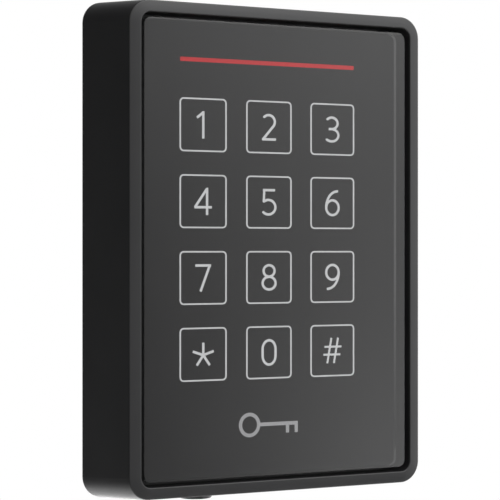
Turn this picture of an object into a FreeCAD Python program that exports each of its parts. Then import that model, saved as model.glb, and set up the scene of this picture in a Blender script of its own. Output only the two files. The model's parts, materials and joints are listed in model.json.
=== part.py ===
import FreeCAD, Part
import math
import os

# Wall-mounted keypad access reader. Millimetres, +Z up, the wall is the plane Y = 0 and the
# keypad faces -Y. The origin is the centre of the wall plate's back face.

V = FreeCAD.Vector

# Housing: one shell whose sides flare outwards from the bezel to the wall. The bezel is
# crowned: it falls back from the opening to its outer edge.
FRONT_W = 102.1
FRONT_H = 146.4
DEPTH = 28.5
FLARE = 1.95
CORNER_R = 6.6
RIM_Y = -0.8
BEZEL_Y = RIM_Y - DEPTH
BEZEL_FALL = 0.64
BEZEL_EDGE_Y = BEZEL_Y + BEZEL_FALL
BEZEL_CROWN = 1.6
BEZEL_EDGE_R = 0.6
WALL_T = 2.3

# Window: a thick smoked block in the bezel's opening, with the legends printed behind it.
OPENING_W = 94.8
OPENING_H = 139.4
OPENING_R = 3.25
OPENING_EDGE_R = 0.3
WINDOW_W = 92.15
WINDOW_H = 136.7
WINDOW_R = 1.9
WINDOW_EDGE_R = 0.2
WINDOW_REAR_BEVEL = 0.4
WINDOW_RECESS = 1.0
WINDOW_T = 6.1
WINDOW_Y = BEZEL_Y + WINDOW_RECESS
LEGEND_Y = WINDOW_Y + WINDOW_T
PRINT_T = 0.15
FILM_T = 0.35
FILM_INSET = 0.12
FILM_BACK_Y = LEGEND_Y + PRINT_T + FILM_T
ADHESIVE_T = 0.4

# Keypad artwork.
PITCH = 23.0
KEY_SIZE = 16.15
KEY_R = 1.4
KEY_LINE = 0.45
FIRST_ROW_Z = 37.55
GLYPH_T = 0.75
SIGN_T = 0.62
GLYPH_TOP = 3.72
GLYPH_HALF_H = 4.1
LIGHT_BAR_W = 61.7
LIGHT_BAR_T = 1.25
LIGHT_BAR_Z = 57.1
PICTOGRAM_Z = -53.4

# Layers from the window backwards.
LEDGE_Y = FILM_BACK_Y + ADHESIVE_T
LEDGE_T = 2.0
LEDGE_BACK_Y = LEDGE_Y + LEDGE_T
APERTURE_W = 81.2
APERTURE_H = 118.8
GUIDE_T = 1.7
TOUCH_T = 1.2
TOUCH_Y = LEDGE_Y + GUIDE_T
TOUCH_BACK_Y = TOUCH_Y + TOUCH_T
CARRIER_T = 1.5
CARRIER_BACK_Y = TOUCH_BACK_Y + CARRIER_T
COIL_T = 1.0
FERRITE_T = 0.4
BOARD_Y = -12.2
BOARD_T = 1.6
BOARD_BACK_Y = BOARD_Y + BOARD_T
BOARD_W = 80.0
BOARD_H = 112.0
POST_X = 35.5
POST_Z = 51.5

# Seal wall and rear cover.
SEAL_W = 92.0
SEAL_H = 132.0
SEAL_WALL_T = 2.0
COVER_T = 2.0
COVER_Y = -5.5
COVER_BACK_Y = COVER_Y + COVER_T
SEAL_T = 0.4
BOSS_X = 48.0
BOSS_R = 2.05
BOSS_ZS = (-52.0, 0.0, 52.0)

# Wall plate, and the hinge that the reader hangs on.
PLATE_W = 98.6
PLATE_H = 142.0
PLATE_T = 2.5
HINGE_Y = -4.2
HINGE_Z = 70.2
BEAD_R = 1.0
HINGE_GAP = 0.08
HOOK_X = 29.0
HOOK_W = 9.0
HOOK_WALL = 1.5
HOOK_POCKET_W = 12.0

# Security screw under the bottom edge, and the lug it screws into.
SCREW_X = -19.0
SCREW_Y = -9.6
SCREW_R = 2.0
SCREW_HEAD_R = 5.1
SEAT_Z = -74.0
SCREW_HEAD_TOP = -74.1
SCREW_HEAD_BOTTOM = -76.1
SCREW_TIP_Z = -67.9
SLOT_HALF = 2.4
LUG_BOTTOM = -71.3
LUG_TOP = -67.3
LUG_HALF = 6.5
LUG_FRONT_Y = -13.2
INSERT_R = 2.9
SCREW_BORE_R = 2.05

# Cable entry and wall screws.
GROMMET_W = 26.0
GROMMET_H = 22.0
GROMMET_Z = -14.0
CABLE_R = 3.0
SLOT_R = 2.1
SLOT_L = 8.0
BOX_SPACING_V = 83.3
BOX_SPACING_H = 60.0

# Shallow pockets in the plate's back, with ribs left between them.
POCKET_DEPTH = 0.9
POCKET_H = 11.0
POCKET_STEP = 14.0

# Terminal block in its well: the plug goes up into the header.
WELL_W = 34.0
WELL_H = 35.0
WELL_Z = -9.0
WELL_WALL = 1.5
POLES = 10
POLE_PITCH = 2.54
BLOCK_HALF = POLES * POLE_PITCH / 2 + 1.3
BLOCK_BACK_Y = -4.0
HEADER_Z0 = 0.0
HEADER_Z1 = 7.6
PLUG_Z0 = -13.5
PLUG_NOSE_Z = 5.4
CLAMP_Z0 = -11.9
CLAMP_Z1 = -8.4
SCREW_ROW_Z = -10.1
WIRE_Y = -7.2
PIN_HALF = 0.35

# Vent in the rear cover, and the tamper switch.
VENT_X = -30.0
VENT_Z = 44.0
TAMPER_X = 26.0
TAMPER_Z = -46.0
PLUNGER_R = 1.5
PLUNGER_GAP = 0.08


def box(x0, x1, y0, y1, z0, z1):
    return Part.makeBox(x1 - x0, y1 - y0, z1 - z0, V(x0, y0, z0))


def rod_x(radius, x0, x1, y, z):
    return Part.makeCylinder(radius, x1 - x0, V(x0, y, z), V(1, 0, 0))


def rod_y(radius, y0, y1, x, z):
    return Part.makeCylinder(radius, y1 - y0, V(x, y0, z), V(0, 1, 0))


def rod_z(radius, z0, z1, x, y):
    return Part.makeCylinder(radius, z1 - z0, V(x, y, z0), V(0, 0, 1))


def rounded_wire(width, height, radius, y, x=0.0, z=0.0):
    """A rounded rectangle in the plane Y = y."""
    a = width / 2
    b = height / 2
    k = radius * (1 - math.sqrt(0.5))
    edges = []
    corners = ((1, 1), (-1, 1), (-1, -1), (1, -1))
    for i, (sx, sz) in enumerate(corners):
        first = V(x + sx * a, y, z + sz * (b - radius))
        second = V(x + sx * (a - radius), y, z + sz * b)
        middle = V(x + sx * (a - k), y, z + sz * (b - k))
        if sx * sz < 0:
            first, second = second, first
        edges.append(Part.Arc(first, middle, second).toShape())
        nx, nz = corners[(i + 1) % 4]
        if nx == sx:
            following = V(x + nx * a, y, z + nz * (b - radius))
        else:
            following = V(x + nx * (a - radius), y, z + nz * b)
        edges.append(Part.LineSegment(second, following).toShape())
    return Part.Wire(edges)


def slab(width, height, radius, y0, y1, x=0.0, z=0.0):
    """A plate with rounded corners, from y0 to y1."""
    return Part.Face(rounded_wire(width, height, radius, y0, x, z)).extrude(V(0, y1 - y0, 0))


def frame_slab(outer, inner, y0, y1):
    """A plate with a hole: outer and inner are (width, height, corner radius)."""
    return slab(*outer, y0, y1).cut(slab(*inner, y0 - 1, y1 + 1))


def shell_outline(inset, y):
    """The housing's outline at depth y, moved inwards by inset."""
    grow = FLARE * (y - BEZEL_Y) / DEPTH
    return rounded_wire(
        FRONT_W + 2 * (grow - inset), FRONT_H + 2 * (grow - inset), CORNER_R - inset * 0.6, y
    )


def shell_block(inset, y0, y1):
    """The solid inside shell_outline from y0 to y1."""
    return Part.makeLoft([shell_outline(inset, y0), shell_outline(inset, y1)], True, True)


def edges_at_y(shape, y):
    """All edges that lie in the plane Y = y."""
    return [
        e
        for e in shape.Edges
        if abs(e.BoundBox.YMin - y) < 1e-4 and abs(e.BoundBox.YMax - y) < 1e-4
    ]


def fuse_all(shapes):
    """One solid or compound from overlapping shapes, with no seams left in it."""
    whole = shapes[0]
    if len(shapes) > 1:
        whole = shapes[0].multiFuse(shapes[1:])
    return whole.removeSplitter()


def save(name, shape):
    shape.exportStep(os.path.join("parts", name + ".step"))


# ---------------------------------------------------------------- wall plate and its pieces


def hook(x):
    """A cradle, open upwards, that holds the cover's round bead."""
    radius = BEAD_R + HINGE_GAP
    depth = radius + HOOK_WALL
    block = box(
        x - HOOK_W / 2, x + HOOK_W / 2, HINGE_Y - depth, -PLATE_T, HINGE_Z - depth, HINGE_Z
    )
    lower_front = [
        e
        for e in edges_at_y(block, HINGE_Y - depth)
        if e.BoundBox.ZMax < HINGE_Z - depth + 0.01
    ]
    block = block.makeFillet(HOOK_WALL * 0.8, lower_front)
    return block.cut(rod_x(radius, x - HOOK_W, x + HOOK_W, HINGE_Y, HINGE_Z))


def wall_slot(x, z, upright):
    """A slot for a wall screw, with a pocket round it for the screw's head."""
    head_r = SLOT_R * 2
    long_slot = SLOT_L
    long_head = SLOT_L + 2 * (head_r - SLOT_R)
    sizes = ((SLOT_R, long_slot, -PLATE_T - 1, 1.0), (head_r, long_head, -PLATE_T - 1, -1.5))
    cuts = []
    for radius, length, y0, y1 in sizes:
        width = 2 * radius if upright else length
        height = length if upright else 2 * radius
        cuts.append(slab(width, height, radius - 0.001, y0, y1, x, z))
    return fuse_all(cuts)


def make_wall_plate():
    plate = slab(PLATE_W, PLATE_H, 4.6, -PLATE_T, 0)
    plate = plate.makeFillet(0.4, edges_at_y(plate, -PLATE_T))
    lug = box(
        SCREW_X - LUG_HALF, SCREW_X + LUG_HALF, LUG_FRONT_Y, -PLATE_T + 0.5, LUG_BOTTOM, LUG_TOP
    )
    tip = [e for e in edges_at_y(lug, LUG_FRONT_Y) if e.Length < LUG_TOP - LUG_BOTTOM + 0.1]
    lug = lug.makeFillet(1.2, tip)
    gussets = []
    for side in (-1, 1):
        x = SCREW_X + side * (LUG_HALF - 0.9)
        corners = (
            V(x - 0.8, -PLATE_T + 0.5, LUG_TOP - 0.2),
            V(x - 0.8, LUG_FRONT_Y + 6.5, LUG_TOP - 0.2),
            V(x - 0.8, -PLATE_T + 0.5, LUG_TOP + 6.0),
        )
        face = Part.Face(Part.makePolygon(list(corners) + [corners[0]]))
        gussets.append(face.extrude(V(1.6, 0, 0)))
    ribs = []
    for side in (-1, 1):
        ribs.append(box(side * 41 - 0.7, side * 41 + 0.7, -3.1, -2, -60, 62))
    plate = fuse_all([plate, lug, hook(-HOOK_X), hook(HOOK_X)] + gussets + ribs)
    cuts = [slab(GROMMET_W, GROMMET_H, 3, -4, 1, 0, GROMMET_Z)]
    cuts.append(rod_z(INSERT_R, LUG_BOTTOM - 1, LUG_TOP + 1, SCREW_X, SCREW_Y))
    for side in (-1, 1):
        cuts.append(wall_slot(0, side * BOX_SPACING_V / 2, True))
        cuts.append(wall_slot(side * BOX_SPACING_H / 2, 0, False))
        cuts.append(slab(14, 26, 3, -4, 1, side * 29, 34))
        cuts.append(slab(12, 22, 3, -4, 1, side * 31, -27))
        for i in range(9):
            z = (i - 4) * POCKET_STEP
            cuts.append(slab(7, POCKET_H, 1.5, -POCKET_DEPTH, 1, side * 43, z))
        for z in (21, 35, 49, -34, -48):
            cuts.append(slab(10, POCKET_H, 1.5, -POCKET_DEPTH, 1, side * 14, z))
    cuts.append(slab(16, 5, 2.4, -4, 1, 0, PLATE_H / 2 - 9))
    return plate.cut(fuse_all(cuts))


def make_lug_insert():
    """Brass thread insert: a ring with two knurled bands, drawn as shallow grooves."""
    ring = rod_z(INSERT_R, LUG_BOTTOM, LUG_TOP, SCREW_X, SCREW_Y)
    ring = ring.cut(rod_z(SCREW_BORE_R, LUG_BOTTOM - 1, LUG_TOP + 1, SCREW_X, SCREW_Y))
    middle = (LUG_BOTTOM + LUG_TOP) / 2
    groove = rod_z(INSERT_R + 1, middle - 0.4, middle + 0.4, SCREW_X, SCREW_Y)
    groove = groove.cut(rod_z(INSERT_R - 0.3, middle - 1, middle + 1, SCREW_X, SCREW_Y))
    return ring.cut(groove)


def make_cable_grommet():
    """A rubber plug in the plate's opening, with a thin web and a collar for the cable."""
    body = slab(GROMMET_W, GROMMET_H, 3, -PLATE_T, 0, 0, GROMMET_Z)
    flange = slab(GROMMET_W + 3, GROMMET_H + 3, 4.2, -PLATE_T - 0.7, -PLATE_T, 0, GROMMET_Z)
    plug = fuse_all([body, flange])
    front = slab(GROMMET_W - 4, GROMMET_H - 4, 2, -4, -1.9, 0, GROMMET_Z)
    back = slab(GROMMET_W - 4, GROMMET_H - 4, 2, -0.6, 1, 0, GROMMET_Z)
    collar = rod_y(CABLE_R + 2, -PLATE_T - 0.7, 0, 0, GROMMET_Z)
    plug = fuse_all([plug.cut(front).cut(back), collar])
    return plug.cut(rod_y(CABLE_R, -5, 1, 0, GROMMET_Z))


def make_security_screw():
    """Pan-head screw with a hexagon socket, driven upwards from below."""
    head = rod_z(SCREW_HEAD_R, SCREW_HEAD_BOTTOM, SCREW_HEAD_TOP, SCREW_X, SCREW_Y)
    rim = [
        e
        for e in head.Edges
        if abs(e.BoundBox.ZMax - SCREW_HEAD_BOTTOM) < 1e-4 and e.Length > 20
    ]
    head = head.makeFillet(0.6, rim)
    shank = rod_z(SCREW_R, SCREW_HEAD_TOP - 0.5, SCREW_TIP_Z, SCREW_X, SCREW_Y)
    tip = [e for e in shank.Edges if abs(e.BoundBox.ZMin - SCREW_TIP_Z) < 1e-4]
    shank = shank.makeChamfer(0.4, tip)
    socket_r = 1.75
    corners = []
    for i in range(7):
        angle = math.radians(60 * i)
        corners.append(
            V(SCREW_X + socket_r * math.cos(angle), SCREW_Y + socket_r * math.sin(angle), -77)
        )
    socket = Part.Face(Part.makePolygon(corners)).extrude(V(0, 0, 77 + SCREW_HEAD_BOTTOM + 1.3))
    return fuse_all([head, shank]).cut(socket)


# ---------------------------------------------------------------- housing and window


def bezel_block():
    """The solid under the bezel, crowned so that it falls away faster towards its outer edge."""
    wires = []
    for share in (0, 0.34, 0.67):
        wires.append(
            rounded_wire(
                OPENING_W + (FRONT_W - OPENING_W) * share,
                OPENING_H + (FRONT_H - OPENING_H) * share,
                OPENING_R + (CORNER_R - OPENING_R) * share,
                BEZEL_Y + BEZEL_FALL * share**BEZEL_CROWN,
            )
        )
    wires.append(shell_outline(0, BEZEL_EDGE_Y))
    return Part.makeLoft(wires, True, False)


def make_housing():
    outer = fuse_all([bezel_block(), shell_block(0, BEZEL_EDGE_Y, RIM_Y)])
    outer = outer.makeFillet(BEZEL_EDGE_R, edges_at_y(outer, BEZEL_EDGE_Y))
    opening = slab(OPENING_W, OPENING_H, OPENING_R, BEZEL_Y - 1, LEDGE_Y)
    aperture = slab(APERTURE_W, APERTURE_H, 3, LEDGE_Y - 1, LEDGE_BACK_Y + 1)
    inside = shell_block(WALL_T, LEDGE_BACK_Y, RIM_Y + 0.001)
    front = outer.cut(opening)
    front = front.makeFillet(OPENING_EDGE_R, edges_at_y(front, BEZEL_Y))
    shell = front.cut(aperture).cut(inside)

    seal_wall = frame_slab(
        (SEAL_W, SEAL_H, 5),
        (SEAL_W - 2 * SEAL_WALL_T, SEAL_H - 2 * SEAL_WALL_T, 3),
        LEDGE_BACK_Y,
        COVER_Y - SEAL_T,
    )
    added = [seal_wall]
    holes = []
    for x in (-BOSS_X, BOSS_X):
        for z in BOSS_ZS:
            added.append(rod_y(BOSS_R, LEDGE_BACK_Y - 0.5, COVER_Y, x, z))
            holes.append(rod_y(0.85, COVER_Y - 7, COVER_Y + 1, x, z))
    for x, z in stake_places():
        added.append(rod_y(1.0, LEDGE_BACK_Y - 0.5, CARRIER_BACK_Y, x, z))
        added.append(rod_y(1.8, CARRIER_BACK_Y, CARRIER_BACK_Y + 0.7, x, z))
    shell = fuse_all([shell] + added)

    slot = rod_z(SLOT_HALF, -80, -70, SCREW_X, SCREW_Y)
    slot_run = box(SCREW_X - SLOT_HALF, SCREW_X + SLOT_HALF, SCREW_Y, 1, -80, -70)
    seat_r = SCREW_HEAD_R + 0.7
    seat = rod_z(seat_r, -80, SEAT_Z, SCREW_X, SCREW_Y)
    seat_run = box(SCREW_X - seat_r, SCREW_X + seat_r, SCREW_Y, 1, -80, SEAT_Z)
    return shell.cut(fuse_all([slot, slot_run, seat, seat_run] + holes))


def make_front_window():
    block = slab(WINDOW_W, WINDOW_H, WINDOW_R, WINDOW_Y, LEGEND_Y)
    block = block.makeFillet(WINDOW_EDGE_R, edges_at_y(block, WINDOW_Y))
    return block.makeChamfer(WINDOW_REAR_BEVEL, edges_at_y(block, LEGEND_Y))


def make_window_adhesive():
    outer = (WINDOW_W - 0.8, WINDOW_H - 0.8, 1.6)
    inner = (APERTURE_W + 0.4, APERTURE_H + 0.4, 3)
    return frame_slab(outer, inner, FILM_BACK_Y, LEDGE_Y)


# ---------------------------------------------------------------- printed artwork


def print_box(x0, x1, z0, z1):
    return box(x0, x1, LEGEND_Y, LEGEND_Y + PRINT_T, z0, z1)


def stroke_dot(x, z, width=GLYPH_T):
    return rod_y(width / 2, LEGEND_Y, LEGEND_Y + PRINT_T, x, z)


def stroke_line(x0, z0, x1, z1, width=GLYPH_T):
    """A straight stroke with square ends."""
    length = math.hypot(x1 - x0, z1 - z0)
    bar = print_box(0, length, -width / 2, width / 2)
    bar.rotate(V(0, 0, 0), V(0, -1, 0), math.degrees(math.atan2(z1 - z0, x1 - x0)))
    bar.translate(V(x0, 0, z0))
    return bar


def oval(x, z, a, b):
    """A flat elliptical disc in the print layer."""
    if abs(a - b) < 1e-6:
        return rod_y(a, LEGEND_Y, LEGEND_Y + PRINT_T, x, z)
    centre = V(x, LEGEND_Y, z)
    if a > b:
        ellipse = Part.Ellipse(centre + V(a, 0, 0), centre + V(0, 0, b), centre)
    else:
        ellipse = Part.Ellipse(centre + V(0, 0, b), centre + V(a, 0, 0), centre)
    face = Part.Face(Part.Wire(ellipse.toShape()))
    return face.extrude(V(0, PRINT_T, 0))


def stroke_oval(x, z, a, b, width=GLYPH_T):
    """A closed elliptical stroke; a and b are measured to the stroke's middle."""
    half = width / 2
    return oval(x, z, a + half, b + half).cut(oval(x, z, a - half, b - half))


def stroke_arc(x, z, a, b, start, end, width=GLYPH_T):
    """Part of an elliptical stroke, from angle start round to end, in degrees."""
    reach = 4 * max(a, b)
    points = [V(x, LEGEND_Y, z)]
    steps = max(2, int(abs(end - start) // 60) + 1)
    for i in range(steps + 1):
        t = math.radians(start + (end - start) * i / steps)
        points.append(V(x + reach * a * math.cos(t), LEGEND_Y, z + reach * b * math.sin(t)))
    wedge = Part.Face(Part.makePolygon(points + [points[0]])).extrude(V(0, PRINT_T, 0))
    return stroke_oval(x, z, a, b, width).common(wedge)


def glyph_1():
    return [stroke_line(0, -GLYPH_HALF_H, 0, GLYPH_HALF_H), stroke_line(-2.15, 2.15, 0.15, 3.85)]


def glyph_2():
    bend = -41
    x = -0.15 + 2.2 * math.cos(math.radians(bend))
    z = 1.67 + 2.05 * math.sin(math.radians(bend))
    return [
        stroke_arc(-0.15, 1.67, 2.2, 2.05, 143, bend),
        stroke_line(x, z, -2.15, -GLYPH_TOP),
        stroke_dot(-2.15, -GLYPH_TOP),
        stroke_line(-2.15, -GLYPH_TOP, 2.45, -GLYPH_TOP),
    ]


def glyph_3():
    return [
        stroke_arc(-0.25, 1.92, 2.15, 1.8, 145, -90),
        stroke_line(-1.35, 0.12, -0.2, 0.12),
        stroke_arc(-0.3, -1.8, 2.5, 1.92, 90, -143),
    ]


def glyph_4():
    return [
        stroke_line(1.3, -GLYPH_HALF_H, 1.3, GLYPH_HALF_H),
        stroke_line(-3.0, -1.75, 2.9, -1.75),
        stroke_line(-2.85, -1.75, 1.3, GLYPH_TOP + 0.15),
    ]


def glyph_5():
    return [
        stroke_line(-2.15, GLYPH_TOP, 2.1, GLYPH_TOP),
        stroke_line(-1.7, GLYPH_TOP, -1.9, 0.35),
        stroke_dot(-1.88, 0.28),
        stroke_arc(-0.25, -1.5, 2.5, 2.22, 133, -143),
    ]


def glyph_6():
    return [
        stroke_arc(1.9, -1.35, 4.2, 5.07, 88, 182),
        stroke_oval(0.0, -1.42, 2.3, 2.3),
    ]


def glyph_7():
    return [
        stroke_line(-2.7, GLYPH_TOP, 2.65, GLYPH_TOP),
        stroke_line(2.3, GLYPH_TOP + 0.2, -0.95, -GLYPH_HALF_H),
    ]


def glyph_8():
    return [stroke_oval(0, 1.98, 1.95, 1.74), stroke_oval(0, -1.77, 2.3, 1.95)]


def glyph_9():
    turned = []
    for stroke in glyph_6():
        stroke.rotate(V(0, 0, 0), V(0, 1, 0), 180)
        turned.append(stroke)
    return turned


def glyph_0():
    side = 1.0
    half_wide = 2.3
    pieces = []
    for sign in (-1, 1):
        cap = stroke_oval(0, sign * side, half_wide, GLYPH_TOP - side)
        keep = print_box(-4, 4, min(sign * side, sign * 6), max(sign * side, sign * 6))
        pieces.append(cap.common(keep))
        pieces.append(stroke_line(sign * half_wide, -side, sign * half_wide, side))
    return pieces


def glyph_star():
    arm = 3.75
    pieces = []
    for i in range(5):
        angle = math.radians(90 + 72 * i)
        tip = (arm * math.cos(angle), arm * math.sin(angle) - 0.25)
        pieces.append(stroke_line(0, -0.25, *tip))
    return pieces


def glyph_hash():
    lean = 0.75
    pieces = []
    for x in (-1.15, 1.3):
        pieces.append(stroke_line(x - lean, -3.95, x + lean, 3.95, SIGN_T))
    for shift, z in ((0.2, 1.2), (-0.2, -1.25)):
        pieces.append(stroke_line(shift - 3.1, z, shift + 3.1, z, SIGN_T))
    return pieces


def key_outline():
    y1 = LEGEND_Y + PRINT_T
    inner = KEY_SIZE - 2 * KEY_LINE
    outer = slab(KEY_SIZE, KEY_SIZE, KEY_R, LEGEND_Y, y1)
    return outer.cut(slab(inner, inner, KEY_R - KEY_LINE, LEGEND_Y - 1, y1 + 1))


def save_legends():
    """One node per key: its outline and its sign."""
    signs = (
        ("1", glyph_1),
        ("2", glyph_2),
        ("3", glyph_3),
        ("4", glyph_4),
        ("5", glyph_5),
        ("6", glyph_6),
        ("7", glyph_7),
        ("8", glyph_8),
        ("9", glyph_9),
        ("star", glyph_star),
        ("0", glyph_0),
        ("hash", glyph_hash),
    )
    for i, (name, glyph) in enumerate(signs):
        sign = fuse_all(glyph())
        key = Part.makeCompound([key_outline()] + list(sign.Solids))
        key.translate(V((i % 3 - 1) * PITCH, 0, FIRST_ROW_Z - (i // 3) * PITCH))
        save("key_" + name, key)


def make_light_bar():
    y1 = LEGEND_Y + PRINT_T
    return slab(LIGHT_BAR_W, LIGHT_BAR_T, 0.2, LEGEND_Y, y1, 0, LIGHT_BAR_Z)


def make_pictogram():
    """A plain door key lying on its side."""
    bow_x = -6.9
    bow = stroke_oval(bow_x, 0, 3.2, 3.2, 1.1)
    shaft = stroke_line(bow_x + 3.3, 0, 10.3, 0, 1.1)
    teeth = [stroke_line(x, 0.1, x, -2.9, 1.1) for x in (6.6, 9.75)]
    picture = fuse_all([bow, shaft] + teeth)
    picture.translate(V(0, 0, PICTOGRAM_Z))
    return picture


# ---------------------------------------------------------------- layers behind the window


def make_legend_film():
    inset = WINDOW_REAR_BEVEL + FILM_INSET
    width = WINDOW_W - 2 * inset
    height = WINDOW_H - 2 * inset
    return slab(width, height, WINDOW_R - inset, LEGEND_Y + PRINT_T, FILM_BACK_Y)


def make_light_guide():
    """Clear sheet behind the keys, with a chamfered lower edge and dots that spread the light."""
    guide = slab(76.0, 112.0, 2, LEDGE_Y, TOUCH_Y, 0, -2.6)
    dots = []
    for column in (-1, 0, 1):
        for row in range(4):
            z = FIRST_ROW_Z - row * PITCH
            dots.append(rod_y(3.0, TOUCH_Y - 0.4, TOUCH_Y + 1, column * PITCH, z))
    return guide.cut(fuse_all(dots))


def make_bar_diffuser():
    block = slab(LIGHT_BAR_W + 3, 4.6, 1.0, LEDGE_Y, TOUCH_Y, 0, LIGHT_BAR_Z - 0.5)
    pockets = [led_block(x, LIGHT_BAR_Z - 0.5, 0.25) for x in bar_led_places()]
    return block.cut(fuse_all(pockets))


def bar_led_places():
    return [-24.0, -8.0, 8.0, 24.0]


def led_block(x, z, grow=0.0):
    """A 2.0 by 1.2 mm lamp on the touch board's front."""
    half_w = 1.0 + grow
    half_h = 0.6 + grow
    return box(x - half_w, x + half_w, TOUCH_Y - 0.7 - grow, TOUCH_Y, z - half_h, z + half_h)


def make_bar_leds():
    return Part.makeCompound([led_block(x, LIGHT_BAR_Z - 0.5) for x in bar_led_places()])


def make_key_leds():
    """Side lamps that shine into the light guide's long edges."""
    lamps = []
    for side in (-1, 1):
        for row in range(4):
            x = side * 39.0
            z = FIRST_ROW_Z - row * PITCH
            lamps.append(box(x - 0.6, x + 0.6, TOUCH_Y - 0.7, TOUCH_Y, z - 1, z + 1))
    return Part.makeCompound(lamps)


def make_touch_board():
    return slab(APERTURE_W - 1.2, APERTURE_H - 0.8, 2.2, TOUCH_Y, TOUCH_BACK_Y)


def make_touch_controller():
    return box(-15.5, -8.5, TOUCH_BACK_Y, TOUCH_BACK_Y + 0.9, 4, 11)


def stake_places():
    """The plastic pins that hold the carrier."""
    sides = [(side * 42.1, z) for side in (-1, 1) for z in (-40, 0, 40)]
    ends = [(x, side * 61.6) for side in (-1, 1) for x in (-24, 24)]
    return sides + ends


def make_carrier_frame():
    """Chassis that presses the touch board forwards and carries the main board on posts."""
    flange = slab(87.4, 127.4, 2.6, LEDGE_BACK_Y, CARRIER_BACK_Y)
    room = slab(APERTURE_W - 1.2 + 0.3, APERTURE_H - 0.8 + 0.3, 2.2, LEDGE_BACK_Y - 1, TOUCH_BACK_Y)
    frame = flange.cut(room)
    frame = frame.cut(slab(44, 36, 2, -30, 0))
    posts = []
    pilots = []
    for x in (-POST_X, POST_X):
        for z in (-POST_Z, POST_Z):
            posts.append(rod_y(2.9, CARRIER_BACK_Y - 0.5, BOARD_Y, x, z))
            pilots.append(rod_y(0.85, BOARD_Y - 4.4, BOARD_Y + 1, x, z))
    pins = [rod_y(1.05, -30, 0, x, z) for x, z in stake_places()]
    return fuse_all([frame] + posts).cut(fuse_all(pilots + pins))


def make_antenna_coil():
    y0 = CARRIER_BACK_Y
    return frame_slab((62, 94, 7), (55.6, 87.6, 3.8), y0, y0 + COIL_T)


def make_ferrite_sheet():
    y0 = CARRIER_BACK_Y + COIL_T
    return frame_slab((62, 94, 7), (44, 36, 2), y0, y0 + FERRITE_T)


def make_board_plug():
    return box(-10, 10, TOUCH_BACK_Y, -15.6, -9.5, -4.5)


def make_board_socket():
    base = box(-11, 11, -15.6, BOARD_Y, -10.2, -3.8)
    return base.cut(box(-9.4, 9.4, -15.7, -14.4, -8.4, -5.6))


# ---------------------------------------------------------------- main board


def terminal_xs():
    return [(i - (POLES - 1) / 2) * POLE_PITCH for i in range(POLES)]


def make_main_board():
    board = slab(BOARD_W, BOARD_H, 2, BOARD_Y, BOARD_BACK_Y)
    holes = [rod_y(1.15, -14, -9, x, z) for x in (-POST_X, POST_X) for z in (-POST_Z, POST_Z)]
    holes += [rod_y(0.6, -14, -9, x, HEADER_Z1 - 0.75) for x in terminal_xs()]
    return board.cut(fuse_all(holes))


def make_processor():
    return box(-23, -13, BOARD_Y - 1.1, BOARD_Y, 24, 34)


def make_memory():
    return box(-8, -2, BOARD_Y - 0.9, BOARD_Y, 26, 31)


def make_radio_shield():
    """Pressed steel can over the radio: five thin walls."""
    can = box(-13, 13, BOARD_Y - 2.4, BOARD_Y, -44, -22)
    can = can.makeFillet(0.5, edges_at_y(can, BOARD_Y - 2.4))
    return can.cut(box(-12.7, 12.7, BOARD_Y - 2.1, BOARD_Y + 1, -43.7, -22.3))


def make_inductor():
    body = slab(7, 7, 1.5, BOARD_Y - 2.8, BOARD_Y, 20, 30)
    return body.makeFillet(0.4, edges_at_y(body, BOARD_Y - 2.8))


def make_crystal():
    return slab(3.2, 2.5, 0.4, BOARD_Y - 0.8, BOARD_Y, -26.5, 20)


def make_capacitors():
    """Three round electrolytic capacitors on square bases."""
    pieces = []
    for x, z in ((-29, 40), (-21, 40), (-29, 31.5)):
        base = box(x - 3.3, x + 3.3, BOARD_BACK_Y, BOARD_BACK_Y + 0.5, z - 3.3, z + 3.3)
        can = rod_y(3.1, BOARD_BACK_Y + 0.5, BOARD_BACK_Y + 4.6, x, z)
        can = can.makeFillet(0.4, edges_at_y(can, BOARD_BACK_Y + 4.6))
        pieces.append(fuse_all([base, can]))
    return Part.makeCompound(pieces)


def make_board_screws():
    pieces = []
    for x in (-POST_X, POST_X):
        for z in (-POST_Z, POST_Z):
            pieces.append(small_screw(x, z, BOARD_BACK_Y, 1.9, 1.3, 0.84, 5.2))
    return Part.makeCompound(pieces)


def small_screw(x, z, y, head_r, head_t, shank_r, length):
    """A cross-recessed pan-head screw, its head's underside at y and its shank towards -Y."""
    head = rod_y(head_r, y, y + head_t, x, z)
    head = head.makeFillet(head_t * 0.4, edges_at_y(head, y + head_t))
    shank = rod_y(shank_r, y - length, y + 0.2, x, z)
    arm = head_r * 0.55
    deep = y + head_t * 0.4
    cross = box(x - arm, x + arm, deep, y + 5, z - 0.22, z + 0.22)
    cross = cross.fuse(box(x - 0.22, x + 0.22, deep, y + 5, z - arm, z + arm))
    return fuse_all([head, shank]).cut(cross)


def make_buzzer():
    y0 = BOARD_BACK_Y
    body = rod_y(6.2, y0, y0 + 4.2, -25, -34)
    body = body.makeFillet(0.5, edges_at_y(body, y0 + 4.2))
    return body.cut(rod_y(1.1, y0 + 2.4, y0 + 6, -25, -34))


def make_tamper_switch():
    y0 = BOARD_BACK_Y
    base = box(TAMPER_X - 3.1, TAMPER_X + 3.1, y0, y0 + 1.4, TAMPER_Z - 3.1, TAMPER_Z + 3.1)
    return fuse_all([base, rod_y(1.1, y0 + 1.3, y0 + 1.8, TAMPER_X, TAMPER_Z)])


# ---------------------------------------------------------------- terminal block


def header_pin(x):
    """A square pin along Z with a tail through the main board."""
    z1 = HEADER_Z1 - 0.4
    y = WIRE_Y
    leg = box(x - PIN_HALF, x + PIN_HALF, y - PIN_HALF, y + PIN_HALF, HEADER_Z0 + 1.4, z1)
    tail = box(x - PIN_HALF, x + PIN_HALF, BOARD_Y - 1.0, y, z1 - 2 * PIN_HALF, z1)
    return fuse_all([leg, tail])


def make_header_pins():
    return Part.makeCompound([header_pin(x) for x in terminal_xs()])


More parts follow.
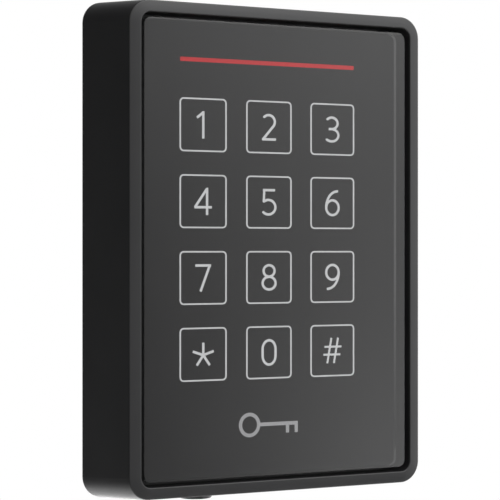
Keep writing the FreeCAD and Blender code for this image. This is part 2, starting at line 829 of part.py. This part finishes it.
def make_terminal_header():
    half = BLOCK_HALF
    shroud = box(-half, half, BOARD_BACK_Y, BLOCK_BACK_Y, HEADER_Z0, HEADER_Z1)
    mouth = box(-half + 0.9, half - 0.9, -9.9, -4.9, HEADER_Z0 - 1, HEADER_Z1 - 1.6)
    shroud = shroud.cut(mouth)
    return shroud.cut(fuse_all([header_pin(x) for x in terminal_xs()]))


def cage(x):
    """The space that one wire clamp fills."""
    return box(x - 1.0, x + 1.0, WIRE_Y - 1.5, WIRE_Y + 1.5, CLAMP_Z0, CLAMP_Z1)


def make_terminal_plug():
    """The wiring plug: wires enter from below, screws face the wall, the nose goes up."""
    half = BLOCK_HALF
    body = box(-half, half, -10.1, BLOCK_BACK_Y, PLUG_Z0, HEADER_Z0 - 0.25)
    body = body.makeFillet(0.3, edges_at_y(body, BLOCK_BACK_Y))
    nose = box(-half + 1.15, half - 1.15, -9.7, -5.1, HEADER_Z0 - 1, PLUG_NOSE_Z)
    grip = [
        box(-half, half, BLOCK_BACK_Y - 0.3, BLOCK_BACK_Y + 0.2, HEADER_Z0 - d, HEADER_Z0 - d + 0.6)
        for d in (3.8, 2.4)
    ]
    plug = fuse_all([body, nose] + grip)
    cuts = []
    for x in terminal_xs():
        cuts.append(cage(x))
        cuts.append(rod_z(0.85, PLUG_Z0 - 1, CLAMP_Z0 + 0.1, x, WIRE_Y))
        cuts.append(rod_y(0.98, WIRE_Y + 1.4, -2, x, SCREW_ROW_Z))
        pin_room = PIN_HALF + 0.15
        cuts.append(
            box(
                x - pin_room,
                x + pin_room,
                WIRE_Y - pin_room,
                WIRE_Y + pin_room,
                CLAMP_Z1 - 0.1,
                PLUG_NOSE_Z + 1,
            )
        )
    return plug.cut(fuse_all(cuts))


def make_wire_clamps():
    pieces = []
    for x in terminal_xs():
        clamp = cage(x).cut(rod_z(0.75, CLAMP_Z0 - 1, CLAMP_Z1 + 1, x, WIRE_Y))
        pieces.append(clamp.cut(rod_y(0.6, WIRE_Y + 0.6, -4, x, SCREW_ROW_Z)))
    return Part.makeCompound(pieces)


def make_terminal_screws():
    pieces = []
    for x in terminal_xs():
        head = rod_y(0.95, WIRE_Y + 1.5, BLOCK_BACK_Y - 0.5, x, SCREW_ROW_Z)
        shank = rod_y(0.58, WIRE_Y + 0.7, WIRE_Y + 1.6, x, SCREW_ROW_Z)
        slot = box(x - 1.5, x + 1.5, BLOCK_BACK_Y - 0.95, 0, -0.15, 0.15)
        slot.translate(V(0, 0, SCREW_ROW_Z))
        pieces.append(fuse_all([head, shank]).cut(slot))
    return Part.makeCompound(pieces)


# ---------------------------------------------------------------- rear cover


def make_rear_cover():
    plate = shell_block(WALL_T + 0.25, COVER_Y, COVER_BACK_Y)
    well = frame_slab(
        (WELL_W + 2 * WELL_WALL, WELL_H + 2 * WELL_WALL, 2.5),
        (WELL_W, WELL_H, 1.5),
        BOARD_BACK_Y + 0.2,
        COVER_Y,
    )
    well.translate(V(0, 0, WELL_Z))
    guide = rod_y(3.2, COVER_Y - 0.2, COVER_BACK_Y, TAMPER_X, TAMPER_Z)
    cover = fuse_all([plate, well, guide])
    cuts = [slab(WELL_W, WELL_H, 1.5, -20, 0, 0, WELL_Z)]
    ceiling = HINGE_Z + 0.9
    floor = HINGE_Z - 4.4
    beads = []
    for side in (-1, 1):
        x0 = side * HOOK_X - HOOK_POCKET_W / 2
        x1 = side * HOOK_X + HOOK_POCKET_W / 2
        cuts.append(box(x0, x1, -20, 0, floor, ceiling))
        beads.append(rod_x(BEAD_R, x0 - 0.5, x1 + 0.5, HINGE_Y, HINGE_Z))
        web_y0 = HINGE_Y - BEAD_R
        web_y1 = HINGE_Y + BEAD_R * 0.7
        beads.append(box(x0 - 0.5, x1 + 0.5, web_y0, web_y1, HINGE_Z, ceiling + 0.2))
    lug_room = LUG_HALF + 1.5
    cuts.append(box(SCREW_X - lug_room, SCREW_X + lug_room, -20, 0, -80, LUG_TOP + 7.4))
    cuts.append(rod_y(PLUNGER_R + PLUNGER_GAP, -20, 0, TAMPER_X, TAMPER_Z))
    cuts.append(rod_y(2.2, -20, 0, VENT_X, VENT_Z))
    cuts.append(rod_y(4.0, COVER_BACK_Y - 0.6, 0, VENT_X, VENT_Z))
    for x in (-BOSS_X, BOSS_X):
        for z in BOSS_ZS:
            cuts.append(rod_y(1.15, -20, 0, x, z))
    return fuse_all([cover.cut(fuse_all(cuts))] + beads)


def make_rear_seal():
    """Silicone ring on the seal wall's rear edge."""
    outer = (SEAL_W - 0.2, SEAL_H - 0.2, 4.9)
    inner = (SEAL_W - 2 * SEAL_WALL_T + 0.2, SEAL_H - 2 * SEAL_WALL_T + 0.2, 3.1)
    return frame_slab(outer, inner, COVER_Y - SEAL_T, COVER_Y)


def make_cover_screws():
    pieces = []
    for x in (-BOSS_X, BOSS_X):
        for z in BOSS_ZS:
            pieces.append(small_screw(x, z, COVER_BACK_Y, 1.75, 0.7, 0.84, 7.5))
    return Part.makeCompound(pieces)


def make_vent_membrane():
    return rod_y(3.9, COVER_BACK_Y - 0.6, COVER_BACK_Y - 0.2, VENT_X, VENT_Z)


# ---------------------------------------------------------------- tamper plunger


def make_tamper_plunger():
    stem = rod_y(PLUNGER_R, -8.7, -2.65, TAMPER_X, TAMPER_Z)
    stem = stem.makeFillet(0.6, edges_at_y(stem, -2.65))
    collar = rod_y(2.5, -7.6, -7.0, TAMPER_X, TAMPER_Z)
    return fuse_all([stem, collar])


def make_tamper_spring():
    """Three turns of wire between the switch and the plunger's collar."""
    wire_r = 0.14
    coil_r = 1.95
    y0 = BOARD_BACK_Y + 1.4 + wire_r + 0.02
    y1 = -7.6 - wire_r - 0.02
    height = y1 - y0
    helix = Part.makeHelix(height / 3, height, coil_r)
    section = Part.Wire(Part.makeCircle(wire_r, V(coil_r, 0, 0), V(0, 1, 0)))
    spring = Part.Wire(helix).makePipeShell([section], True, True)
    spring.rotate(V(0, 0, 0), V(1, 0, 0), -90)
    spring.translate(V(TAMPER_X, y0, TAMPER_Z))
    return spring


def main():
    os.makedirs("parts", exist_ok=True)
    save_legends()
    pieces = {
        "wall_plate": make_wall_plate,
        "lug_insert": make_lug_insert,
        "cable_grommet": make_cable_grommet,
        "security_screw": make_security_screw,
        "housing": make_housing,
        "front_window": make_front_window,
        "window_adhesive": make_window_adhesive,
        "light_bar": make_light_bar,
        "pictogram": make_pictogram,
        "legend_film": make_legend_film,
        "light_guide": make_light_guide,
        "bar_diffuser": make_bar_diffuser,
        "bar_leds": make_bar_leds,
        "key_leds": make_key_leds,
        "touch_board": make_touch_board,
        "touch_controller": make_touch_controller,
        "carrier_frame": make_carrier_frame,
        "antenna_coil": make_antenna_coil,
        "ferrite_sheet": make_ferrite_sheet,
        "board_plug": make_board_plug,
        "board_socket": make_board_socket,
        "main_board": make_main_board,
        "processor": make_processor,
        "memory": make_memory,
        "radio_shield": make_radio_shield,
        "inductor": make_inductor,
        "crystal": make_crystal,
        "capacitors": make_capacitors,
        "board_screws": make_board_screws,
        "buzzer": make_buzzer,
        "tamper_switch": make_tamper_switch,
        "header_pins": make_header_pins,
        "terminal_header": make_terminal_header,
        "terminal_plug": make_terminal_plug,
        "wire_clamps": make_wire_clamps,
        "terminal_screws": make_terminal_screws,
        "rear_cover": make_rear_cover,
        "rear_seal": make_rear_seal,
        "cover_screws": make_cover_screws,
        "vent_membrane": make_vent_membrane,
        "tamper_plunger": make_tamper_plunger,
        "tamper_spring": make_tamper_spring,
    }
    for name, make in pieces.items():
        shape = make()
        save(name, shape)
        print(name, len(shape.Solids), round(shape.Volume, 2), shape.isValid())


main()
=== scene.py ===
import json
import math

import bpy
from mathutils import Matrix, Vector


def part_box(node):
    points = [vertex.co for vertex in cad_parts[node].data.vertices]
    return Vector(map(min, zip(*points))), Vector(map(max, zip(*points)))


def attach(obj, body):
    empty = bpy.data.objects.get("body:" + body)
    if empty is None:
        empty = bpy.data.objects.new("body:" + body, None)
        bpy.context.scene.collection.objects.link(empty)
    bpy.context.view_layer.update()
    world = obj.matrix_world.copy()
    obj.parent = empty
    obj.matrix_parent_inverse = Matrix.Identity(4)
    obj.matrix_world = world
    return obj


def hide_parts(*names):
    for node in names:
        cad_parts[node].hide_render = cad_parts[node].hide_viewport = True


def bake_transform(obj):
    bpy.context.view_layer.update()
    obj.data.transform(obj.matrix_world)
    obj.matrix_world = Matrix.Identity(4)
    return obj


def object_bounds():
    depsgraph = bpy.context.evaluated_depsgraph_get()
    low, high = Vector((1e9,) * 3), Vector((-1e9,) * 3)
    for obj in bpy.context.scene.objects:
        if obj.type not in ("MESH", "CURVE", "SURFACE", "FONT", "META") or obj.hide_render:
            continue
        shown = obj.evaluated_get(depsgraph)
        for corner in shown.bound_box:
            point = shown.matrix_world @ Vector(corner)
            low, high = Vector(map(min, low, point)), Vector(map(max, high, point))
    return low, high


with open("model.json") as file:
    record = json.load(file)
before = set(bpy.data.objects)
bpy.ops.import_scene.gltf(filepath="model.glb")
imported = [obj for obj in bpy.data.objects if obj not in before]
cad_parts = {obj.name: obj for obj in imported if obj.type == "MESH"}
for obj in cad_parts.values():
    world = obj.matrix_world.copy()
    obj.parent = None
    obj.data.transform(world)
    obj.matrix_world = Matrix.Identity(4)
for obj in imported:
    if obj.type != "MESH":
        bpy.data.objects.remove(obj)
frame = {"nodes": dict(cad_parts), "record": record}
CAD_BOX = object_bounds()
NODES = frame["nodes"]
MM = 0.001

WINDOW_ALPHA = 0.72
WINDOW_CORNER = 2.4 * MM
WINDOW_TOP_FADE = 1.9 * MM

# The disc under the reader: its radius, and how far it lies below the CAD box.
FLOOR_RADIUS = 0.75
FLOOR_DROP = 0.45
FLOOR_SIDES = 96

# The camera that was fitted to the photograph's key outlines.
LENS_MM = 143.97
SENSOR_MM = 36.0
CAMERA_PLACE = (-0.3125, -0.5494, -0.00007)
CAMERA_TURN = math.radians(30.1076)

# The room's even grey, and its soft lights: the direction towards each one, how narrow it is
# (the power of the cosine), and its radiance. The camera itself sees plain white instead.
ROOM_GREY = 0.054
SOFT_LIGHTS = (
    ((0.62, -0.77, -0.16), 90, 2.46),
    ((0.6, -0.78, 0.2), 40, 2.06),
    ((0.35, -0.5, 0.8), 8, 4.86),
    ((0.7, 0.7, 0.2), 5, 0.8),
    ((-0.5, -0.8, 0.3), 4, 1.01),
    ((1.0, 0.0, 0.0), 6, 2.37),
    ((0.25, 0.88, -0.42), 15, 4.5),
)

# ---------------------------------------------------------------- shader building blocks


class Shader:
    """A material's node tree, built a node at a time around one Principled shader."""

    def __init__(self, name, **sockets):
        self.material = bpy.data.materials.new(name)
        self.material.use_nodes = True
        self.tree = self.material.node_tree
        self.tree.nodes.clear()
        self.out = self.tree.nodes.new("ShaderNodeOutputMaterial")
        self.main = self.node("ShaderNodeBsdfPrincipled", **sockets)
        self.link(self.main.outputs["BSDF"], self.out.inputs["Surface"])
        coordinates = self.tree.nodes.new("ShaderNodeTexCoord")
        self.place = coordinates.outputs["Object"]

    def node(self, kind, **sockets):
        made = self.tree.nodes.new(kind)
        for name, value in sockets.items():
            self.put(made.inputs[name.replace("_", " ")], value)
        return made

    def put(self, socket, value):
        if isinstance(value, bpy.types.NodeSocket):
            self.link(value, socket)
        elif isinstance(value, tuple) and len(value) == 3 and socket.type == "RGBA":
            socket.default_value = (*value, 1.0)
        else:
            socket.default_value = value

    def link(self, output, socket):
        self.tree.links.new(output, socket)

    def noise(self, size, detail=2.0, stretch=(1, 1, 1)):
        """Grey noise with features of about size metres."""
        mapped = self.node("ShaderNodeMapping", Vector=self.place, Scale=stretch)
        made = self.node("ShaderNodeTexNoise", Vector=mapped.outputs["Vector"])
        made.inputs["Scale"].default_value = 1.0 / size
        made.inputs["Detail"].default_value = detail
        return made.outputs["Fac"]

    def cells(self, size):
        """Distance to the nearest cell centre, for pits and weave."""
        made = self.node("ShaderNodeTexVoronoi", Vector=self.place)
        made.inputs["Scale"].default_value = 1.0 / size
        return made.outputs["Distance"]

    def between(self, factor, low, high, start=0.3, end=0.7):
        """A number that goes from low to high as factor goes from start to end."""
        made = self.node("ShaderNodeMapRange", Value=factor)
        made.inputs["From Min"].default_value = start
        made.inputs["From Max"].default_value = end
        made.inputs["To Min"].default_value = low
        made.inputs["To Max"].default_value = high
        return made.outputs["Result"]

    def maths(self, operation, first, second):
        made = self.node("ShaderNodeMath")
        made.operation = operation
        self.put(made.inputs[0], first)
        self.put(made.inputs[1], second)
        return made.outputs["Value"]

    def times(self, first, second):
        return self.maths("MULTIPLY", first, second)

    def plus(self, first, second):
        return self.maths("ADD", first, second)

    def tint(self, factor, dark, light, start=0.3, end=0.7):
        """A colour that goes from dark to light as factor goes from start to end."""
        made = self.tree.nodes.new("ShaderNodeValToRGB")
        made.color_ramp.elements[0].position = start
        made.color_ramp.elements[0].color = (*dark, 1)
        made.color_ramp.elements[1].position = end
        made.color_ramp.elements[1].color = (*light, 1)
        self.link(factor, made.inputs["Fac"])
        return made.outputs["Color"]

    def bump(self, height, strength, depth, below=None):
        """Adds relief of depth metres, over the relief already made."""
        made = self.node("ShaderNodeBump", Height=height, Strength=strength, Distance=depth)
        if below is not None:
            self.link(below, made.inputs["Normal"])
        self.link(made.outputs["Normal"], self.main.inputs["Normal"])
        return made.outputs["Normal"]


def scaled(colour, factor):
    return tuple(c * factor for c in colour)


# ---------------------------------------------------------------- materials


def moulded_plastic(name, colour, rough, grain=0.35 * MM, relief=0.012 * MM, strength=0.35):
    """Injection-moulded plastic: an eroded-mould grain, slow shade changes and fine speckle."""
    s = Shader(name, IOR=1.5)
    cloud = s.noise(18 * MM, 3)
    s.put(s.main.inputs["Base Color"], s.tint(cloud, scaled(colour, 0.86), scaled(colour, 1.14)))
    speckle = s.noise(grain * 0.7, 2)
    s.put(s.main.inputs["Roughness"], s.between(speckle, rough - 0.05, rough + 0.06))
    pits = s.bump(s.cells(grain), strength, relief)
    s.bump(s.noise(grain * 3, 3), strength * 0.5, relief * 1.6, pits)
    return s.material


def smoked_window(name, alpha, shade=1.0):
    """Polished smoked acrylic: see-through, with the faint haze of wiped fingerprints.
    shade scales its colour: above 1 it paints light, below 1 it paints shade.
    """
    s = Shader(name, IOR=1.6, Alpha=alpha)
    haze = s.noise(14 * MM, 4, (1, 1, 0.6))
    tones = [scaled(grey, shade) for grey in ((0.0085, 0.0085, 0.009), (0.0105, 0.0105, 0.011))]
    s.put(s.main.inputs["Base Color"], s.tint(haze, *tones))
    s.put(s.main.inputs["Roughness"], s.between(haze, 0.05, 0.09, 0.35, 0.8))
    s.bump(s.noise(30 * MM, 1), 0.05, 0.02 * MM)
    return s.material


def frosted_edge_painted_glow(name, glow):
    """Machined rear edge of the window block. Painted light: a glow painted up its right side and
    low down at its right corner, and painted shade that darkens it towards the bottom."""
    s = Shader(name, IOR=1.49)
    marks = s.noise(0.12 * MM, 3, (1, 1, 0.15))
    split = s.node("ShaderNodeSeparateXYZ", Vector=s.place)
    height = split.outputs["Z"]
    # Painted shade: the colour darkens towards the bottom of the edge.
    shade = s.between(height, 0.04, 1.0, -68 * MM, -20 * MM)
    tone = s.times(s.between(marks, 0.09, 0.14), shade)
    s.put(s.main.inputs["Base Color"], tone)
    s.put(s.main.inputs["Roughness"], s.between(marks, 0.45, 0.65))
    # Painted glow: emission rising with height, plus a spot low down at the right corner, on the
    # right side only.
    s.put(s.main.inputs["Emission Color"], (1.0, 1.0, 1.0))
    upper = s.between(height, 0.0, 1.0, -58 * MM, -8 * MM)
    corner = s.between(height, 0.8, 0.0, -64 * MM, -62 * MM)
    right_side_glow = s.between(split.outputs["X"], 0.0, glow, 43 * MM, 45 * MM)
    s.put(s.main.inputs["Emission Strength"], s.times(s.plus(upper, corner), right_side_glow))
    s.bump(marks, 0.3, 0.01 * MM)
    return s.material


def lit_print(name, colour, glow):
    """Printed legend with light behind it: a screen-print grain and slightly uneven glow."""
    s = Shader(name, Roughness=0.5)
    grain = s.noise(0.25 * MM, 3)
    even = s.noise(9 * MM, 1)
    s.put(s.main.inputs["Base Color"], s.tint(grain, scaled(colour, 0.9), colour))
    s.put(s.main.inputs["Emission Color"], s.tint(even, scaled(colour, 0.93), colour, 0.35, 0.65))
    s.main.inputs["Emission Strength"].default_value = glow
    s.bump(grain, 0.2, 0.01 * MM)
    return s.material


def soft_rubber(name, colour, rough=0.75):
    s = Shader(name, IOR=1.5)
    dust = s.noise(6 * MM, 5)
    s.put(s.main.inputs["Base Color"], s.tint(dust, colour, scaled(colour, 1.6), 0.4, 0.75))
    s.put(s.main.inputs["Roughness"], s.between(dust, rough - 0.1, rough + 0.1))
    s.bump(s.noise(0.4 * MM, 3), 0.3, 0.02 * MM)
    return s.material


def clear_plastic(name):
    s = Shader(name, IOR=1.49, Alpha=0.5)
    haze = s.noise(8 * MM, 3)
    s.put(s.main.inputs["Base Color"], s.tint(haze, (0.78, 0.81, 0.83), (0.86, 0.88, 0.9)))
    s.put(s.main.inputs["Roughness"], s.between(haze, 0.08, 0.2))
    s.bump(s.noise(1.5 * MM, 2), 0.1, 0.01 * MM)
    return s.material


def circuit_board(name, mask, track):
    """Solder mask over fine tracks, with small plated holes."""
    s = Shader(name, IOR=1.5, Coat_Weight=0.3, Coat_Roughness=0.15)
    steps = s.noise(2.4 * MM, 0, (1, 1, 0.25))
    lines = s.node("ShaderNodeTexWave", Vector=s.place, Distortion=3.0, Detail=1.0)
    lines.inputs["Scale"].default_value = 260.0
    copper = s.times(lines.outputs["Fac"], steps)
    s.put(s.main.inputs["Base Color"], s.tint(copper, mask, track, 0.22, 0.3))
    s.put(s.main.inputs["Roughness"], s.between(steps, 0.32, 0.45))
    relief = s.bump(copper, 0.3, 0.03 * MM)
    s.bump(s.cells(1.8 * MM), 0.15, 0.02 * MM, relief)
    return s.material


def metal(name, colour, rough, grain=0.15 * MM):
    """Plated or turned metal: a fine blasted grain and a little tarnish."""
    s = Shader(name, Metallic=1.0)
    tarnish = s.noise(3 * MM, 4)
    s.put(s.main.inputs["Base Color"], s.tint(tarnish, scaled(colour, 0.78), colour))
    s.put(s.main.inputs["Roughness"], s.between(tarnish, rough + 0.12, rough - 0.04))
    s.bump(s.noise(grain, 2), 0.25, 0.01 * MM)
    return s.material


def winding(name, colour):
    """Bundle of enamelled wire: fine ridges along the winding, and painted shade that darkens the
    furrows between the wires to half.
    """
    s = Shader(name, Metallic=0.9, Coat_Weight=0.6, Coat_Roughness=0.2)
    wires = s.node("ShaderNodeTexWave", Vector=s.place, Distortion=0.6)
    wires.inputs["Scale"].default_value = 900.0
    # Painted shade: the colour drops to half in the furrows between the wires.
    s.put(s.main.inputs["Base Color"], s.tint(wires.outputs["Fac"], scaled(colour, 0.5), colour))
    s.main.inputs["Roughness"].default_value = 0.35
    s.bump(wires.outputs["Fac"], 0.5, 0.08 * MM)
    return s.material


def woven_membrane(name):
    s = Shader(name, Roughness=0.85)
    weave = s.cells(0.35 * MM)
    thread, gap = (0.78, 0.78, 0.76), (0.55, 0.55, 0.53)
    s.put(s.main.inputs["Base Color"], s.tint(weave, gap, thread, 0.1, 0.5))
    s.bump(weave, 0.5, 0.05 * MM)
    return s.material


def lamp_body(name):
    s = Shader(name, Roughness=0.3)
    phosphor = s.noise(0.3 * MM, 2)
    s.put(s.main.inputs["Base Color"], s.tint(phosphor, (0.75, 0.66, 0.28), (0.9, 0.84, 0.5)))
    s.bump(phosphor, 0.2, 0.01 * MM)
    return s.material


def make_materials():
    """One material per slot of the record."""
    black = (0.013, 0.013, 0.0138)
    connector_green = (0.015, 0.16, 0.06)
    return {
        "housing_plastic": moulded_plastic("housing_plastic", black, 0.42),
        "smoked_window": smoked_window("smoked_window", WINDOW_ALPHA),
        # window_side is a lit copy of the window colour, 2.2 times as bright: painted light on the
        # side walls. window_rear is a darker copy, 0.6 times: painted shade on the rear face.
        "window_side": smoked_window("window_side", 0.5, 2.2),
        "window_rear": smoked_window("window_rear", 0.1, 0.6),
        # window_bevel has a painted glow up its right side and painted shade towards its bottom.
        "window_bevel": frosted_edge_painted_glow("window_bevel", 0.16),
        "legend_print": lit_print("legend_print", (0.86, 0.87, 0.88), 1.85),
        "light_bar_red": lit_print("light_bar_red", (0.9, 0.012, 0.02), 1.45),
        "pictogram_print": lit_print("pictogram_print", (0.5, 0.5, 0.51), 1.8),
        "film_black": moulded_plastic("film_black", (0.008, 0.008, 0.0085), 0.6, 0.6 * MM),
        "foam_tape": soft_rubber("foam_tape", (0.01, 0.01, 0.01), 0.85),
        "guide_clear": clear_plastic("guide_clear"),
        "led_white": lamp_body("led_white"),
        "board_green": circuit_board("board_green", (0.006, 0.05, 0.022), (0.012, 0.12, 0.05)),
        "chip_black": moulded_plastic("chip_black", (0.014, 0.014, 0.015), 0.5, 0.12 * MM),
        "copper": winding("copper", (0.75, 0.33, 0.15)),
        "ferrite": moulded_plastic("ferrite", (0.035, 0.035, 0.038), 0.45, 0.2 * MM),
        "plated_steel": metal("plated_steel", (0.62, 0.63, 0.65), 0.28),
        "black_steel": metal("black_steel", (0.07, 0.07, 0.072), 0.34),
        "brass_insert": metal("brass_insert", (0.78, 0.55, 0.22), 0.3),
        "inner_plastic": moulded_plastic("inner_plastic", (0.02, 0.0205, 0.022), 0.5, 0.5 * MM),
        "plate_plastic": moulded_plastic("plate_plastic", (0.017, 0.017, 0.018), 0.55, 0.6 * MM),
        "soft_rubber": soft_rubber("soft_rubber", (0.012, 0.012, 0.012)),
        "connector_plastic": moulded_plastic("connector_plastic", connector_green, 0.35, 0.3 * MM),
        "socket_plastic": moulded_plastic("socket_plastic", (0.62, 0.58, 0.48), 0.45, 0.3 * MM),
        "can_aluminium": metal("can_aluminium", (0.78, 0.79, 0.8), 0.3),
        "membrane_white": woven_membrane("membrane_white"),
    }


def dress_nodes(materials):
    """Every CAD node gets its slot's material."""
    for part in frame["record"]["subparts"]:
        mesh = NODES[part["node"]].data
        mesh.materials.clear()
        mesh.materials.append(materials[part["material_slot"]])


# ---------------------------------------------------------------- pieces


def rounded_ring(width, height, radius, y, corner_steps=12):
    """Points round a rounded rectangle in the plane Y = y."""
    points = []
    centres = ((1, 1), (-1, 1), (-1, -1), (1, -1))
    for quarter, (sx, sz) in enumerate(centres):
        cx = sx * (width / 2 - radius)
        cz = sz * (height / 2 - radius)
        for i in range(corner_steps + 1):
            angle = math.pi / 2 * (quarter + i / corner_steps)
            points.append((cx + radius * math.cos(angle), y, cz + radius * math.sin(angle)))
    return points


def lofted(name, rings, groups, body):
    """A closed skin over rings of points; groups gives each band's material, then both caps'."""
    mesh = bpy.data.meshes.new(name)
    count = len(rings[0])
    verts = [p for ring in rings for p in ring]
    faces = []
    slots = []
    for band in range(len(rings) - 1):
        for i in range(count):
            a = band * count + i
            b = band * count + (i + 1) % count
            faces.append((a, b, b + count, a + count))
            slots.append(groups[band])
    last = (len(rings) - 1) * count
    faces.append(tuple(reversed(range(count))))
    slots.append(groups[-2])
    faces.append(tuple(last + i for i in range(count)))
    slots.append(groups[-1])
    mesh.from_pydata(verts, [], faces)
    for face, slot in zip(mesh.polygons, slots):
        face.material_index = slot
        face.use_smooth = len(face.vertices) == 4
    piece = bpy.data.objects.new(name, mesh)
    bpy.context.scene.collection.objects.link(piece)
    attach(piece, body)
    return piece


def window_ring(box, inset, top_drop, y):
    """One ring of the window block; top_drop lowers its upper side only."""
    low, high = box
    wide = high.x - low.x - 2 * inset
    tall = high.z - low.z - 2 * inset
    ring = rounded_ring(wide, tall, WINDOW_CORNER - inset, y)
    fade_start = high.z - inset - WINDOW_TOP_FADE
    placed = []
    for x, y, z in ring:
        share = max(0.0, min(1.0, (z - fade_start) / WINDOW_TOP_FADE))
        placed.append((x, y, z - top_drop * share * share))
    return placed


def make_window(materials):
    """The window block: polished front, bevelled top edge, and a matt bevel at the rear."""
    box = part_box("front_window")
    low, high = box
    roll = 0.1 * MM
    rear_deep = 1.28 * MM
    rear_inset = 0.02 * MM
    bevel_tall = 0.55 * MM
    steps = 5
    rings = []
    groups = []
    for i in range(steps + 1):
        angle = math.pi / 2 * i / steps
        y = low.y + roll * (1 - math.cos(angle))
        inset = roll * (1 - math.sin(angle))
        top_drop = bevel_tall * (1 - i / steps)
        rings.append(window_ring(box, inset, top_drop, y))
        groups.append(0)
    groups[-1] = 1
    rings.append(window_ring(box, 0, 0, high.y - rear_deep))
    rings.append(window_ring(box, rear_inset, 0, high.y))
    # Band 3, the rear bevel, takes window_bevel: its painted glow and painted shade.
    piece = lofted("smoked_window_block", rings, groups + [3, 0, 2], "reader")
    # window_side (the side walls) and window_rear (the rear cap) are painted lit and shaded copies
    # of the window colour.
    for slot in ("smoked_window", "window_side", "window_rear", "window_bevel"):
        piece.data.materials.append(materials[slot])
    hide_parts("front_window")


def make_spring(materials):
    """The tamper spring as a wire coil."""
    low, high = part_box("tamper_spring")
    wire = 0.14 * MM
    coil = (high.x - low.x) / 2 - wire
    axis = ((low.x + high.x) / 2, (low.z + high.z) / 2)
    first = low.y + wire
    rise = high.y - low.y - 2 * wire
    turns = 3
    steps = 40
    sides = 10
    verts = []
    for i in range(turns * steps + 1):
        turn = i / steps
        angle = math.tau * turn
        y = first + rise * turn / turns
        for j in range(sides):
            around = math.tau * j / sides
            reach = coil + wire * math.cos(around)
            across = axis[0] + reach * math.cos(angle)
            up = axis[1] + reach * math.sin(angle)
            verts.append((across, y + wire * math.sin(around), up))
    faces = []
    for i in range(turns * steps):
        for j in range(sides):
            a = i * sides + j
            b = i * sides + (j + 1) % sides
            faces.append((a, b, b + sides, a + sides))
    faces.append(tuple(reversed(range(sides))))
    faces.append(tuple(len(verts) - sides + j for j in range(sides)))
    mesh = bpy.data.meshes.new("tamper_spring_coil")
    mesh.from_pydata(verts, [], faces)
    mesh.polygons.foreach_set("use_smooth", [True] * len(faces))
    mesh.materials.append(materials["plated_steel"])
    piece = bpy.data.objects.new("tamper_spring_coil", mesh)
    bpy.context.scene.collection.objects.link(piece)
    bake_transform(piece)
    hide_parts("tamper_spring")


# ---------------------------------------------------------------- stage, light and camera


def make_floor():
    """A round pale floor below the object, outside the camera's view."""
    z = CAD_BOX[0].z - FLOOR_DROP
    mesh = bpy.data.meshes.new("floor")
    angles = [math.tau * i / FLOOR_SIDES for i in range(FLOOR_SIDES)]
    rim = [(FLOOR_RADIUS * math.cos(a), FLOOR_RADIUS * math.sin(a), z) for a in angles]
    mesh.from_pydata(rim, [], [tuple(range(FLOOR_SIDES))])
    floor = bpy.data.objects.new("floor", mesh)
    bpy.context.scene.collection.objects.link(floor)
    s = Shader("pale_floor", Roughness=0.7)
    mottle = s.noise(60 * MM, 3)
    s.put(s.main.inputs["Base Color"], s.tint(mottle, (0.87, 0.87, 0.87), (0.9, 0.9, 0.9)))
    mesh.materials.append(s.material)


def make_world():
    """White behind the object, and for its gloss a dim room with soft lights all round."""
    world = bpy.data.worlds.new("studio")
    bpy.context.scene.world = world
    world.use_nodes = True
    tree = world.node_tree
    tree.nodes.clear()
    links = tree.links
    out = tree.nodes.new("ShaderNodeOutputWorld")
    mix = tree.nodes.new("ShaderNodeMixShader")
    seen = tree.nodes.new("ShaderNodeBackground")
    seen.inputs["Color"].default_value = (1, 1, 1, 1)
    room = tree.nodes.new("ShaderNodeBackground")
    path = tree.nodes.new("ShaderNodeLightPath")
    direction = tree.nodes.new("ShaderNodeTexCoord")

    def compute(kind, operation, first, second):
        node = tree.nodes.new(kind)
        node.operation = operation
        for socket, value in zip(node.inputs, (first, second)):
            if isinstance(value, bpy.types.NodeSocket):
                links.new(value, socket)
            else:
                socket.default_value = value
        return node

    total = ROOM_GREY
    for aim, sharpness, radiance in SOFT_LIGHTS:
        toward = compute(
            "ShaderNodeVectorMath", "DOT_PRODUCT", direction.outputs["Generated"],
            Vector(aim).normalized(),
        )
        front = compute("ShaderNodeMath", "MAXIMUM", toward.outputs["Value"], 0.0)
        lobe = compute("ShaderNodeMath", "POWER", front.outputs[0], sharpness)
        lit = compute("ShaderNodeMath", "MULTIPLY", lobe.outputs[0], radiance)
        total = compute("ShaderNodeMath", "ADD", lit.outputs[0], total).outputs[0]
    links.new(total, room.inputs["Color"])
    links.new(path.outputs["Is Camera Ray"], mix.inputs["Fac"])
    links.new(room.outputs["Background"], mix.inputs[1])
    links.new(seen.outputs["Background"], mix.inputs[2])
    links.new(mix.outputs["Shader"], out.inputs["Surface"])


def make_camera():
    """Level, on the viewer's left, with a long lens."""
    data = bpy.data.cameras.new("camera")
    data.sensor_width = SENSOR_MM
    data.lens = LENS_MM
    camera = bpy.data.objects.new("camera", data)
    camera.location = CAMERA_PLACE
    camera.rotation_euler = (math.radians(90), 0, -CAMERA_TURN)
    bpy.context.scene.collection.objects.link(camera)
    bpy.context.scene.camera = camera


materials = make_materials()
dress_nodes(materials)
make_window(materials)
make_spring(materials)
make_floor()
make_world()
make_camera()
bpy.context.scene.view_settings.view_transform = "Standard"
